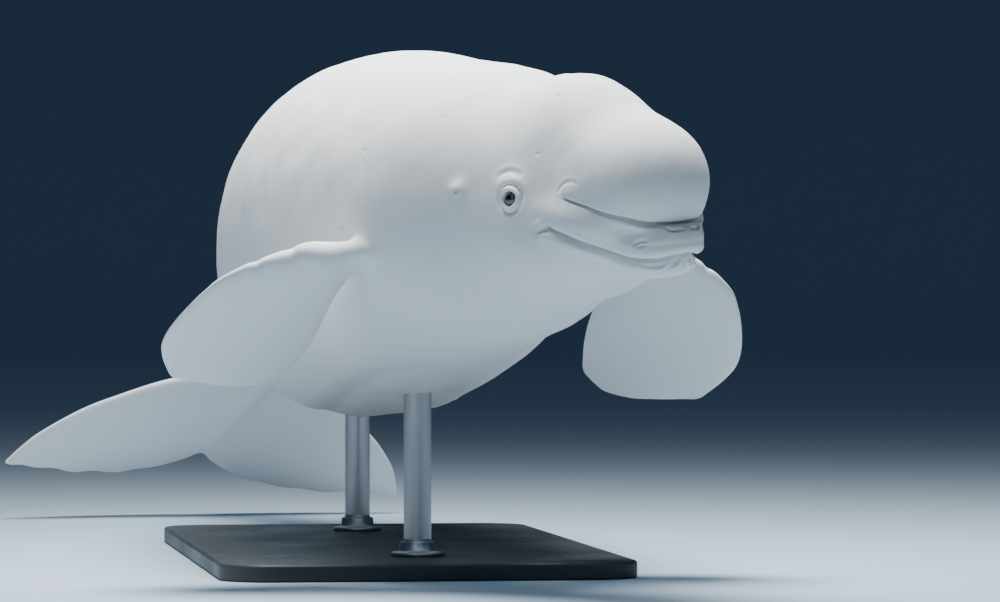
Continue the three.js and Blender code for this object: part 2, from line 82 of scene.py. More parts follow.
HEAD_TO_NECK_LEAST, HEAD_TO_NECK_FROM, HEAD_TO_NECK_TO = 0.002, 0.150, 0.280
MOUTH_END, CREASE_END = 0.206, 0.178
MELON_CREASE = [(-0.020, -0.027), (0.060, -0.022), (0.085, -0.013), (0.113, -0.004), (0.144, 0.009),
                (0.178, 0.021), (0.200, 0.028)]
MOUTH_LINE = [(0, -0.071), (0.030, -0.073), (0.060, -0.080), (0.090, -0.078), (0.130, -0.066),
              (0.150, -0.053), (0.171, -0.040), (0.202, -0.025), (0.225, -0.014)]
EYE = (0.275, 0.022)
EAR = (0.385, 0.035)
BLOWHOLE = 0.340
FLIPPER_ROOT = (0.599, 0.271, -0.112)


def curve_through(points):
    x, y = np.array(points, float).T
    slope = np.diff(y) / np.diff(x)
    tangent = np.concatenate([slope[:1], np.zeros(len(x) - 2), slope[-1:]])
    same = slope[:-1] * slope[1:] > 0
    total = np.where(same, slope[:-1] + slope[1:], 1)
    tangent[1:-1] = np.where(same, 2 * slope[:-1] * slope[1:] / total, 0)

    def height(q):
        q = np.clip(q, x[0], x[-1])
        i = np.clip(np.searchsorted(x, q, side="right") - 1, 0, len(x) - 2)
        width = x[i + 1] - x[i]
        t = (q - x[i]) / width
        rise = tangent[i] * t * (1 - t) ** 2 - tangent[i + 1] * t * t * (1 - t)
        return y[i] * (1 + 2 * t) * (1 - t) ** 2 + y[i + 1] * t * t * (3 - 2 * t) + width * rise

    return height


section_top = curve_through(SECTIONS[:, [0, 1]])
section_bottom = curve_through(SECTIONS[:, [0, 2]])
section_half = curve_through(SECTIONS[:, [0, 3]])
melon_crease = curve_through(MELON_CREASE)
mouth_line = curve_through(MOUTH_LINE)


def ramp(x, start, stop):
    t = np.clip((x - start) / (stop - start), 0, 1)
    return t * t * (3 - 2 * t)


def bell(x):
    return np.exp(-x * x)


def smooth_join(a, b, radius):
    reach_of_join = 1.5 * radius
    share = np.maximum(reach_of_join - np.abs(a - b), 0) / reach_of_join
    return np.minimum(a, b) - share ** 3 * reach_of_join / 6


def mass_distance(mass, s, y, z):
    at, (a, b, c), pitch, _ = mass
    ds, dz = s - at[0], z - at[2]
    along = ds * np.cos(pitch) + dz * np.sin(pitch)
    up = -ds * np.sin(pitch) + dz * np.cos(pitch)
    side = np.abs(y) - at[1]
    near = np.sqrt((along / a) ** 2 + (side / b) ** 2 + (up / c) ** 2)
    slope = np.sqrt((along / a ** 2) ** 2 + (side / b ** 2) ** 2 + (up / c ** 2) ** 2) + 1e-9
    return near * (near - 1) / slope


def trunk_distance(s, y, z):
    top, bottom, half = section_top(s), section_bottom(s), section_half(s)
    tall = (top - bottom) / 2
    up = (z - (top + bottom) / 2) / tall
    power = 2.08 + 0.06 * np.tanh(3 * up)
    around = (np.abs(y / half) ** power + np.abs(up) ** power + 1e-12) ** (1 / power)
    return (around - 1) * np.minimum(half, tall)


def low_forms(s, y, z):
    crease, mouth, across = melon_crease(s), mouth_line(s), np.abs(y)
    fade = np.where(s < 0.300, 1 - ramp(s, 0.150, 0.250), 0)
    out = 0.007 * fade * bell((z - (crease + mouth) / 2) / (0.4 * (crease - mouth)))
    out += 0.005 * fade * bell((z - mouth + 0.016) / 0.013)
    brow = bell(np.hypot((s - EYE[0] - 0.004) / 0.026, (z - EYE[1] - 0.024) / 0.014))
    out += 0.005 * brow * ramp(across, 0.060, 0.090)
    back = ramp(s, 1.250, 1.650) * (1 - ramp(s, 2.200, 2.500))
    out += 0.014 * bell((across - 0.010) / 0.016) * ramp(z, 0.120, 0.180) * back
    belly = ramp(s, 1.000, 1.500) * (1 - ramp(s, 2.300, 2.700))
    out += 0.006 * bell((across - 0.120) / 0.060) * ramp(-z, 0.120, 0.200) * belly
    return out


def plain_distance(s, y, z):
    head = mass_distance(HEAD_MASSES[0], s, y, z)
    for mass in HEAD_MASSES[1:]:
        head = smooth_join(head, mass_distance(mass, s, y, z), mass[3])
    trunk = trunk_distance(s, y, z)
    grown = ramp(s, HEAD_TO_NECK_FROM, HEAD_TO_NECK_TO)
    soft = HEAD_TO_NECK_LEAST + (HEAD_TO_NECK - HEAD_TO_NECK_LEAST) * grown
    whole = np.where(s > 0.700, trunk, smooth_join(trunk, head, soft))
    return np.where(s < SECTIONS[0, 0], head, whole) - low_forms(s, y, z)


# Folds, lids and openings of the skin. The lips close on a thin line, the melon rolls over a
# crease above the upper lip, and the eye sits in a ring of soft lids.
def line_gap(line, end, s, z):
    slope = (line(s + 0.002) - line(s - 0.002)) / 0.004
    return np.hypot((z - line(s)) / np.sqrt(1 + slope ** 2), np.maximum(s - end, 0))


def side_gap(place, s, y, z):
    return np.where(np.abs(y) > 0.060, np.hypot(s - place[0], z - place[1]), 1)


def blowhole_gap(s, y, z):
    centre = BLOWHOLE + 0.012
    around = np.hypot(s - centre, y)
    turn = np.abs(np.arctan2(y, centre - s))
    gap = np.hypot(around - 0.027, 0.027 * np.maximum(turn - 1.15, 0))
    return np.where(z > 0.080, gap, 1)


def fold(gap, depth, width):
    return depth * bell(gap / width)


WRINKLES = [
    # depth, half width, then places (s, out to the side, z), the same on both sides
    (0.0022, 0.0040, [(0.306, 0.154, 0.054), (0.296, 0.151, 0.061), (0.282, 0.147, 0.064),
                      (0.263, 0.145, 0.059)]),
    (0.0012, 0.0026, [(0.193, 0.126, 0.033), (0.186, 0.121, 0.044), (0.173, 0.116, 0.049),
                      (0.158, 0.114, 0.044)]),
    (0.0026, 0.0022, [(0.052, 0.032, -0.031), (0.042, 0.028, -0.036), (0.038, 0.018, -0.037),
                      (0.036, 0.007, -0.036)]),
    (0.0020, 0.0030, [(0.079, 0.073, -0.053), (0.070, 0.067, -0.047), (0.061, 0.061, -0.045)]),
    (0.0016, 0.0026, [(0.075, 0.070, -0.058), (0.063, 0.064, -0.054)]),
    (0.0030, 0.0030, [(0.090, 0.040, -0.104), (0.068, 0.033, -0.100), (0.052, 0.024, -0.092),
                      (0.046, 0.017, -0.084), (0.039, 0.010, -0.076)]),
    (0.0026, 0.0030, [(0.100, 0.024, -0.112), (0.070, 0.016, -0.106), (0.050, 0.011, -0.096),
                      (0.043, 0.004, -0.087)]),
    (0.0022, 0.0026, [(0.080, 0.056, -0.088), (0.066, 0.044, -0.090), (0.052, 0.030, -0.087)]),
    (0.0050, 0.0050, [(0.205, 0.143, -0.026), (0.214, 0.145, -0.027), (0.224, 0.147, -0.031)]),
    (0.0030, 0.0050, [(0.632, 0.237, -0.044), (0.618, 0.236, -0.036), (0.600, 0.235, -0.034),
                      (0.590, 0.233, -0.044)]),
    (0.0022, 0.0040, [(0.634, 0.237, -0.054), (0.618, 0.235, -0.047), (0.602, 0.234, -0.048)]),
    (0.0050, 0.0110, [(0.623, 0.214, -0.125), (0.647, 0.209, -0.146), (0.686, 0.204, -0.166),
                      (0.735, 0.202, -0.182)]),
    (0.0050, 0.0220, [(0.740, 0.036, -0.277), (0.811, 0.056, -0.282), (0.926, 0.072, -0.291),
                      (1.181, 0.082, -0.300), (1.667, 0.066, -0.306), (2.050, 0.050, -0.275)]),
    (0.0022, 0.0080, [(0.400, 0.040, -0.205), (0.408, 0.110, -0.175), (0.424, 0.160, -0.120)]),
    (0.0024, 0.0090, [(0.452, 0.030, -0.222), (0.460, 0.120, -0.190), (0.480, 0.180, -0.130)]),
]
# The painted shade in the creases leaves out the last rows of WRINKLES.
BROAD_FOLDS = 3  # the last rows, on belly and throat, are too shallow to look darker
PITS = [
    (0.325, 0.126, 0.119), (0.277, 0.130, 0.100), (0.243, 0.124, 0.090), (0.440, 0.180, 0.087),
    (0.465, 0.183, 0.106), (0.498, 0.208, 0.078), (0.479, 0.200, 0.080), (0.445, 0.149, 0.144),
    (0.570, 0.217, 0.088), (0.517, 0.225, 0.021),
    (0.373, 0.167, -0.053), (0.253, 0.070, 0.179),
]


def rounded_path(places):
    path = np.array(places)
    for _ in range(2):
        early, late = 0.75 * path[:-1] + 0.25 * path[1:], 0.25 * path[:-1] + 0.75 * path[1:]
        inner = np.stack([early, late], 1).reshape(-1, 3)
        path = np.concatenate([path[:1], inner, path[-1:]])
    return path


def wrinkle_gap(path, s, y, z):
    """Distance from a path over the skin, and how far along the path, from 0 to 1."""
    gap, along = np.full(s.shape, 1.0), np.zeros(s.shape)
    low, high = path.min(axis=0) - 0.05, path.max(axis=0) + 0.05
    side = np.abs(y)
    near = (s > low[0]) & (s < high[0]) & (side > low[1]) & (side < high[1]) & (z > low[2]) & (z < high[2])
    here = np.stack([s[near], side[near], z[near]], 1)
    best, share = np.full(len(here), 1.0), np.zeros(len(here))
    count = len(path) - 1
    for k in range(count):
        way = path[k + 1] - path[k]
        t = np.clip((here - path[k]) @ way / (way @ way), 0, 1)
        d = np.linalg.norm(here - path[k] - t[:, None] * way, axis=1)
        share = np.where(d < best, (k + t) / count, share)
        best = np.minimum(best, d)
    gap[near], along[near] = best, share
    return gap, along


wrinkle_paths = [(depth, width, rounded_path(places)) for depth, width, places in WRINKLES]
half_pit = np.array([0.0015, 0, 0])
pit_paths = [rounded_path([np.array(place) - half_pit, np.array(place) + half_pit]) for place in PITS]
waves = np.random.default_rng(7)
WAVE_WAYS = waves.normal(size=(26, 3))
WAVE_LENGTHS = 0.050 + 0.170 * waves.random((26, 1))
WAVE_WAYS *= 2 * np.pi / WAVE_LENGTHS / np.linalg.norm(WAVE_WAYS, axis=1, keepdims=True)
WAVE_STARTS = waves.random(26) * 2 * np.pi


def unevenness(points):
    return np.sin(points @ WAVE_WAYS.T + WAVE_STARTS).sum(axis=1) / math.sqrt(26)


def fine_forms(points, normals):
    s, y, z = points.T
    steep = np.maximum(np.sqrt(1 - normals[:, 2] ** 2), 0.35)
    mouth = line_gap(mouth_line, MOUTH_END, s, z) / steep
    crease = line_gap(melon_crease, CREASE_END, s, z) / steep
    out = 0.0009 * unevenness(points) * ramp(s, 0.300, 0.600) + 0.0003 * unevenness(2.1 * points)
    out -= fold(mouth, 0.0080, 0.0021) + fold(mouth, 0.0024, 0.0080)
    out -= fold(crease, 0.0080, 0.0022) + fold(crease, 0.0012, 0.0070)
    above, front = z - mouth_line(s), 1 - ramp(s, 0.150, 0.200)
    out += front * (0.0020 * bell((above - 0.010) / 0.006) + 0.0016 * bell((above + 0.011) / 0.006))
    below, lip = melon_crease(s) - z, 1 - ramp(s, 0.060, 0.120)
    out += lip * (0.0070 * bell((below - 0.009) / 0.007) - 0.0055 * bell((below - 0.032) / 0.013))
    out += fold(np.hypot(s - 0.173, z - 0.032), 0.0030, 0.013) * (np.abs(y) > 0.060)
    eye = side_gap(EYE, s, y, z)
    out += fold(eye - 0.0160, 0.0046, 0.0038)
    out -= fold(eye - 0.0225, 0.0026, 0.0026)
    out += fold(eye - 0.0300, 0.0012, 0.0060)
    out -= 0.0200 * (1 - ramp(eye, 0.0100, 0.0122))
    out += fold(side_gap(EAR, s, y, z), 0.0058, 0.0130)
    out -= fold(side_gap((EAR[0], EAR[1] - 0.004), s, y, z), 0.0070, 0.0026)
    breath = blowhole_gap(s, y, z)
    out -= fold(breath, 0.0070, 0.0026)
    out += fold(breath - 0.0085, 0.0020, 0.0050)
    for depth, width, path in wrinkle_paths:
        gap, along = wrinkle_gap(path, s, y, z)
        fade = np.sqrt(np.sin(np.pi * np.clip(along, 0.03, 0.97)))
        out -= fold(gap, depth, width) * fade - fold(gap - 2.2 * width, 0.35 * depth, 1.2 * width) * fade
    for path in pit_paths:
        out -= fold(wrinkle_gap(path, s, y, z)[0], 0.0020, 0.0030)
    return out


def outward(points):
    step = 0.0004
    slope = np.stack([
        plain_distance(*(points + step * np.eye(3)[k]).T) - plain_distance(*(points - step * np.eye(3)[k]).T)
        for k in range(3)
    ], 1)
    return slope / np.linalg.norm(slope, axis=1, keepdims=True)


def skin_grain(s, y, z):
    """Longest edge that the skin's mesh may have at a place."""
    body = 0.0075 + 0.0095 * ramp(s, 0.420, 0.900)
    tail = 0.0075 + 0.0095 * (1 - ramp(s, 2.700, 3.050))
    beside = (np.abs(y) - FLIPPER_ROOT[1]) / 2
    root = np.sqrt((s - FLIPPER_ROOT[0]) ** 2 + beside ** 2 + (z - FLIPPER_ROOT[2]) ** 2)
    shoulder = 0.0065 + 0.0105 * ramp(root, 0.150, 0.350)
    mouth_gap, crease_gap = line_gap(mouth_line, MOUTH_END, s, z), line_gap(melon_crease, CREASE_END, s, z)
    fold_gap = np.minimum.reduce([mouth_gap, crease_gap, blowhole_gap(s, y, z)])
    fine = [0.0014 + 0.45 * np.maximum(fold_gap - 0.005, 0)]
    fine.append(0.0011 + 0.35 * np.maximum(np.abs(side_gap(EYE, s, y, z) - 0.013) - 0.011, 0))
    fine.append(0.0014 + 0.40 * np.maximum(side_gap(EAR, s, y, z) - 0.007, 0))
    for depth, width, path in wrinkle_paths:
        fine.append(0.55 * width + 0.50 * np.maximum(wrinkle_gap(path, s, y, z)[0] - 2.2 * width, 0))
    for path in pit_paths:
        fine.append(0.0019 + 0.60 * np.maximum(wrinkle_gap(path, s, y, z)[0] - 0.005, 0))
    return np.minimum.reduce([body, tail, shoulder, *fine])


def split_long_edges(points, faces, longest):
    """Halve every edge that is longer than the skin's grain, and part the faces beside it."""
    pairs = np.sort(np.concatenate([faces[:, [0, 1]], faces[:, [1, 2]], faces[:, [2, 0]]]), axis=1)
    key, which = np.unique(pairs[:, 0].astype(np.int64) * len(points) + pairs[:, 1], return_inverse=True)
    a, b = key // len(points), key % len(points)
    middle = (points[a] + points[b]) / 2
    too_long = np.linalg.norm(points[a] - points[b], axis=1) > longest(*middle.T)
    number = np.full(len(key), -1)
    number[too_long] = len(points) + np.arange(too_long.sum())
    split = number[which.reshape(3, -1)].T
    count = (split >= 0).sum(axis=1)
    parts = [faces[count == 0]]

    def turned(rows, first):
        order = (first[:, None] + np.arange(3)) % 3
        return np.take_along_axis(faces[rows], order, 1).T, np.take_along_axis(split[rows], order, 1).T

    one = np.flatnonzero(count == 1)
    (p, q, r), (m, _, _) = turned(one, np.argmax(split[one] >= 0, axis=1))
    parts += [np.stack([p, m, r], 1), np.stack([m, q, r], 1)]
    two = np.flatnonzero(count == 2)
    (p, q, r), (m, n, _) = turned(two, (np.argmax(split[two] < 0, axis=1) + 1) % 3)
    parts += [np.stack([m, q, n], 1), np.stack([p, m, n], 1), np.stack([p, n, r], 1)]
    (p, q, r), (m, n, o) = faces[count == 3].T, split[count == 3].T
    parts += [np.stack([p, m, o], 1), np.stack([m, q, n], 1), np.stack([o, n, r], 1), np.stack([m, n, o], 1)]
    return np.concatenate([points, middle[too_long]]), np.concatenate(parts), int(too_long.sum())


def settled(points):
    """Points moved along the plain body's slope until they lie on it."""
    for _ in range(2):
        points = points - np.clip(plain_distance(*points.T), -0.010, 0.010)[:, None] * outward(points)
    return points


def reach(origin, toward):
    near, far = np.zeros(len(toward)), np.full(len(toward), 0.480)
    for _ in range(24):
        t = (near + far) / 2
        inside = plain_distance(*(origin + toward * t[:, None]).T) < 0
        near, far = np.where(inside, t, near), np.where(inside, far, t)
    return origin + toward * near[:, None]


def ring_faces(rings, around):
    i, j = np.meshgrid(np.arange(rings - 1), np.arange(around), indexing="ij")
    a, b = (i * around + j).ravel(), (i * around + (j + 1) % around).ravel()
    side = [np.stack([a, b, b + around], 1), np.stack([a, b + around, a + around], 1)]
    ends = np.arange(around)
    after = (ends + 1) % around
    last = (rings - 1) * around
    side.append(np.stack([np.full(around, rings * around), after, ends], 1))
    side.append(np.stack([last + ends, last + after, np.full(around, rings * around + 1)], 1))
    return np.concatenate(side)


def straight_body():
    around, nose = 48, np.array([0.200, 0, -0.005])
    angle = np.arange(around) / around * 2 * np.pi
    rings = []
    for t in np.linspace(1, 0, 70):
        s = nose[0] + (BODY_END - nose[0]) * (0.6 * t ** 1.4 + 0.4 * t)
        origin = np.array([s, 0, nose[2] * (1 - ramp(s, nose[0], 0.600))])
        rings.append(reach(origin, np.stack([0 * angle, np.cos(angle), np.sin(angle)], 1)))
    for polar in np.linspace(np.pi / 2, 0, 17)[1:-1]:
        toward = [0 * angle - np.cos(polar), np.sin(polar) * np.cos(angle), np.sin(polar) * np.sin(angle)]
        rings.append(reach(nose, np.stack(toward, 1)))
    tip = reach(nose, np.array([[-1.0, 0, 0]]))
    points = np.concatenate(rings + [np.array([[BODY_END, 0, 0]]), tip])
    return points, ring_faces(len(rings), around)


def skin_of_body():
    points, faces = straight_body()
    for _ in range(7):
        points, faces, added = split_long_edges(points, faces, skin_grain)
        closed_end = points[:, 0] > BODY_END - 1e-6
        points = np.where(closed_end[:, None], points, settled(points))
        if not added:
            break
    normals = outward(points)
    lift = np.where(points[:, 0] > BODY_END - 1e-6, 0, fine_forms(points, normals))
    return points, points + normals * lift[:, None], faces


# The pose. The spine bends down and to the side behind the head and at the tail, and every
# part of the animal is laid along that same spine.
BENDS = [
    # from, to, turn, pitch, twist in radians
    (0.300, 1.000, -0.522, -0.122, -0.153), (1.956, 3.429, 0.269, 0, 0.035), (2.309, 3.492, 0, -0.622, 0),
]
SPINE_STEP, SPINE_FROM, SPINE_TO = 0.005, -0.100, 3.600
CHEST_S, CHEST_AT, NOSE_UP, BANK = 1.100, (0, -0.420, 0.615), 0.074, 0.055


def turned_about(axis, angle):
    c, s = math.cos(angle), math.sin(angle)
    return np.array({
        "x": [[1, 0, 0], [0, c, -s], [0, s, c]],
        "y": [[c, 0, s], [0, 1, 0], [-s, 0, c]],
        "z": [[c, -s, 0], [s, c, 0], [0, 0, 1]],
    }[axis])


def bent_spine():
    count = round((SPINE_TO - SPINE_FROM) / SPINE_STEP) + 1
    middle = round((CHEST_S - SPINE_FROM) / SPINE_STEP)
    turns, points = np.zeros((count, 3, 3)), np.zeros((count, 3))
    c, s = math.cos(NOSE_UP), math.sin(NOSE_UP)
    start = np.array([[0, 1, 0], [-c, 0, s], [s, 0, c]]) @ turned_about("x", -BANK)
    for direction in (1, -1):
        turn, point, i = start, np.array(CHEST_AT), middle
        while 0 <= i < count:
            turns[i], points[i] = turn, point
            place = SPINE_FROM + (i + direction / 2) * SPINE_STEP
            rate = np.zeros(3)
            for begin, end, yaw, pitch, twist in BENDS:
                t = min(max((place - begin) / (end - begin), 0), 1)
                rate += np.array([twist, pitch, yaw]) * 6 * t * (1 - t) / (end - begin)
            rate *= SPINE_STEP * direction
            following = turn @ turned_about("z", rate[2]) @ turned_about("y", rate[1])
            following = following @ turned_about("x", rate[0])
            ahead = turn[:, 0] + following[:, 0]
            point = point - ahead / np.linalg.norm(ahead) * SPINE_STEP * direction
            turn, i = following, i + direction
    return points, turns


spine_points, spine_turns = bent_spine()


def spine_at(s):
    u = np.clip((np.asarray(s, float) - SPINE_FROM) / SPINE_STEP, 0, len(spine_points) - 1.001)
    i = u.astype(int)
    part = (u - i)[..., None]
    turn = spine_turns[i] * (1 - part[..., None]) + spine_turns[i + 1] * part[..., None]
    return spine_points[i] * (1 - part) + spine_points[i + 1] * part, turn


def laid(points):
    at, turn = spine_at(points[:, 0])
    return at + turn[:, :, 1] * points[:, 1:2] + turn[:, :, 2] * points[:, 2:3]


# Flippers and flukes. Stiff blades of fibrous tissue under the same skin, thick at the root
# and thin behind, with rounded tips; the flukes meet at a notch.
FLIPPER_LENGTH = 0.325
FLIPPER_CHORD = [
    # out from the root, leading edge, trailing edge
    (-0.150, -0.008, 0.010), (-0.115, -0.016, 0.010), (-0.080, -0.030, 0.010), (-0.045, -0.052, 0.022),
    (0, -0.096, 0.055), (0.045, -0.112, 0.085), (0.090, -0.127, 0.128), (0.136, -0.131, 0.164),
    (0.180, -0.119, 0.185), (0.220, -0.101, 0.183), (0.262, -0.076, 0.155), (0.296, -0.044, 0.108),
    (0.314, -0.006, 0.078), (0.325, 0.034, 0.060),
]
FLIPPER_HALF = [(-0.150, 0.012), (-0.060, 0.018), (0, 0.026), (0.170, 0.018), (0.325, 0.006)]
FLIPPER_POSES = {1: (0.236, 0.776, -0.736), -1: (0.561, 0.577, -0.876)}
FLUKE_SPAN = 0.456
FLUKE_CHORD = [
    (0, 3.038, 3.433), (0.032, 3.073, 3.459), (0.086, 3.125, 3.490), (0.171, 3.169, 3.512),
    (0.257, 3.218, 3.508), (0.343, 3.279, 3.486), (0.408, 3.345, 3.463), (0.440, 3.399, 3.454),
    (0.456, 3.438, 3.446),
]
FLUKE_HALF = [(0, 0.030), (0.110, 0.022), (0.320, 0.012), (0.456, 0.004)]


def blade(outs, chord, half, around, wave):
    """Foil rings: out from the root, place along the chord, and height above its plane."""
    leading, trailing = curve_through([c[:2] for c in chord]), curve_through([(c[0], c[2]) for c in chord])
    thick = curve_through(half)
    angle = np.arange(2 * around) / around * np.pi
    x = (1 - np.cos(angle)) / 2
    profile = 2.2 * np.sqrt(x) * np.maximum(1 - x, 0) ** 0.9 + 0.12 * np.abs(np.sin(angle))
    rows = []
    for out in outs:
        front, rear = leading(out) + wave(out)[0], trailing(out) + wave(out)[1]
        rows.append(np.stack([
            np.full_like(x, out), front + (rear - front) * x, np.sign(np.sin(angle)) * thick(out) * profile,
        ], 1))
    rings = np.concatenate(rows)
    ends = np.stack([rows[0].mean(axis=0), rows[-1].mean(axis=0)])
    return np.concatenate([rings, ends]), ring_faces(len(outs), 2 * around)


def flipper(side):
    sweep, droop, twist = FLIPPER_POSES[side]
    outs = -0.150 + (FLIPPER_LENGTH + 0.1498) * np.sin(np.linspace(0, np.pi / 2, 110))

    def scallops(out):
        near = ramp(out, -0.060, -0.020) * (1 - ramp(out, 0.090, 0.140))
        free = ramp(out, 0.100, 0.160) * (1 - ramp(out, 0.240, 0.290))
        notch = 0.0050 * bell((out - 0.022) / 0.010) + 0.0050 * bell((out - 0.076) / 0.009)
        return near * notch, 0.0012 * free * math.sin(46 * out)

    points, faces = blade(outs, FLIPPER_CHORD, FLIPPER_HALF, 30, scallops)
    out, along, lift = points.T
    curled = lift + 0.2 * np.maximum(out - 0.085, 0) ** 2
    turn = turned_about("x", -droop) @ turned_about("z", sweep) @ turned_about("y", twist)
    local = np.stack([-along, out, curled], 1) @ turn.T
    local[:, 1] = side * (local[:, 1] + FLIPPER_ROOT[1])
    local[:, 2] += FLIPPER_ROOT[2]
    at, root_turn = spine_at(FLIPPER_ROOT[0])
    return local @ root_turn.T + at, faces if side > 0 else faces[:, ::-1]


def flukes():
    half_span = FLUKE_SPAN - 0.0002
    outs = half_span * np.sin(np.linspace(-np.pi / 2, np.pi / 2, 170))

    def ripples(out):
        free = ramp(abs(out), 0.060, 0.120) * (1 - ramp(abs(out), 0.400, 0.440))
        return 0.0015 * free * math.sin(48 * out + 1), 0.0030 * free * math.sin(64 * out + 0.6)

    mirrored = [[(-row[0], *row[1:]) for row in rows[:0:-1]] + rows for rows in (FLUKE_CHORD, FLUKE_HALF)]
    points, faces = blade(outs, *mirrored, 34, ripples)
    out, along, lift = points.T
    return laid(np.stack([along, out, lift - 0.31 * out * out], 1)), faces


# One skin. The body, both flippers and the flukes are joined into one closed surface, and the
# roots are smoothed into the body, as flesh is.
def solid_mesh(name, points, faces):
    mesh = bpy.data.meshes.new(name)
    mesh.from_pydata(points.tolist(), [], faces.tolist())
    whole = bmesh.new()
    whole.from_mesh(mesh)
    if whole.calc_volume(signed=True) < 0:
        bmesh.ops.reverse_faces(whole, faces=whole.faces)
    whole.to_mesh(mesh)
    whole.free()
    return mesh


def put(name, mesh):
    piece = bpy.data.objects.new(name, mesh)
    bpy.context.scene.collection.objects.link(piece)
    return piece


def corners(mesh):
    flat = np.empty(3 * len(mesh.vertices), np.float32)
    mesh.vertices.foreach_get("co", flat)
    return flat.reshape(-1, 3).astype(float)


def soften_roots(mesh, body_tree, blade_tree, near, spread, times):
    points = corners(mesh)
    rows = np.flatnonzero(near(points))
    gap = np.array([
        max(body_tree.find_nearest(p)[3], blade_tree.find_nearest(p)[3]) for p in points[rows]
    ])
    weight = np.zeros(len(points))
    weight[rows] = 1 - ramp(gap, 0.35 * spread, spread)
    flat = np.empty(2 * len(mesh.edges), np.int32)
    mesh.edges.foreach_get("vertices", flat)
    a, b = flat.reshape(-1, 2).T
    touched = (weight[a] > 0) | (weight[b] > 0)
    a, b = a[touched], b[touched]
    start, end = np.concatenate([a, b]), np.concatenate([b, a])
    degree = np.maximum(np.bincount(start, minlength=len(points)), 1)
    for _ in range(times):
        mean = np.stack([np.bincount(start, points[end, k], len(points)) / degree for k in range(3)], 1)
        points = points + (0.6 * weight)[:, None] * np.where((weight > 0)[:, None], mean - points, 0)
    mesh.vertices.foreach_set("co", points.astype(np.float32).ravel())


plain_points, straight_points, body_faces = skin_of_body()
body_points = laid(straight_points)
body_mesh = solid_mesh("body_skin", body_points, body_faces)
blades = {"flukes": flukes(), "flipper_left": flipper(1), "flipper_right": flipper(-1)}
skin = put("skin", body_mesh)
blade_meshes = {}
for blade_name, (blade_points, blade_faces) in blades.items():
    blade_meshes[blade_name] = solid_mesh(blade_name, blade_points, blade_faces)
    tool = put(blade_name, blade_meshes[blade_name])
    join = skin.modifiers.new(blade_name, "BOOLEAN")
    join.operation, join.solver, join.object = "UNION", "MANIFOLD", tool
ready = skin.evaluated_get(bpy.context.evaluated_depsgraph_get())
joined = bpy.data.meshes.new_from_object(ready)
body_tree = BVHTree.FromPolygons(body_points.tolist(), body_faces.tolist())
for blade_name, (blade_points, blade_faces) in blades.items():
    blade_tree = BVHTree.FromPolygons(blade_points.tolist(), blade_faces.tolist())
    low, high = blade_points.min(axis=0) - 0.06, blade_points.max(axis=0) + 0.06
    spread, times = (0.050, 60) if blade_name == "flukes" else (0.055, 80)
    soften_roots(joined, body_tree, blade_tree, lambda p: ((p > low) & (p < high)).all(axis=1), spread, times)
    bpy.data.objects.remove(bpy.data.objects[blade_name])
skin.modifiers.clear()
skin.data = joined
skin.data.shade_smooth()
skin_nodes = ["head", "lower_jaw", "neck", "chest", "belly", "tail_stock"]
skin_nodes += ["fluke_left", "fluke_right", "fin_left", "fin_right"]
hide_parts(*skin_nodes)
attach(skin, "root")

# Marks that the skin's finish needs: painted shade, by how deep a place lies in a fold, crease or opening,
# and how near the edge of a flipper or fluke it is.
nearest = KDTree(len(straight_points))
for i, p in enumerate(body_points):
    nearest.insert(p, i)
nearest.balance()
skin_points = corners(skin.data)
match = [nearest.find(p) for p in skin_points]
index, distance = np.array([m[1] for m in match]), np.array([m[2] for m in match])
s, y, z = plain_points[index].T
on_body = 1 - ramp(distance, 0.010, 0.040)
# Painted shade in the creases: the skin is darkened in the mouth line, melon crease, blowhole, ear, wrinkles
# and pits, where shade falls.
crease_shade = np.maximum.reduce([
    fold(line_gap(mouth_line, MOUTH_END, s, z), 1, 0.0026),
    0.8 * fold(line_gap(melon_crease, CREASE_END, s, z), 1, 0.0026),
    fold(blowhole_gap(s, y, z), 1, 0.0030), fold(side_gap((EAR[0], EAR[1] - 0.004), s, y, z), 1, 0.0030),
    *[0.45 * fold(wrinkle_gap(path, s, y, z)[0], 1, 0.6 * width)
      for _, width, path in wrinkle_paths[:-BROAD_FOLDS]],
    *[0.6 * fold(wrinkle_gap(path, s, y, z)[0], 1, 0.0026) for path in pit_paths],
])
lid = fold(np.maximum(side_gap(EYE, s, y, z) - 0.0105, 0), 1, 0.0035)
# The "fold" attribute carries the painted shade of the creases, openings and pits.
for mark, values in (("fold", crease_shade * on_body), ("lid", lid * on_body), ("blade", 1 - on_body)):
    layer = skin.data.attributes.new(mark, "FLOAT", "POINT")
    layer.data.foreach_set("value", values.astype(np.float32))


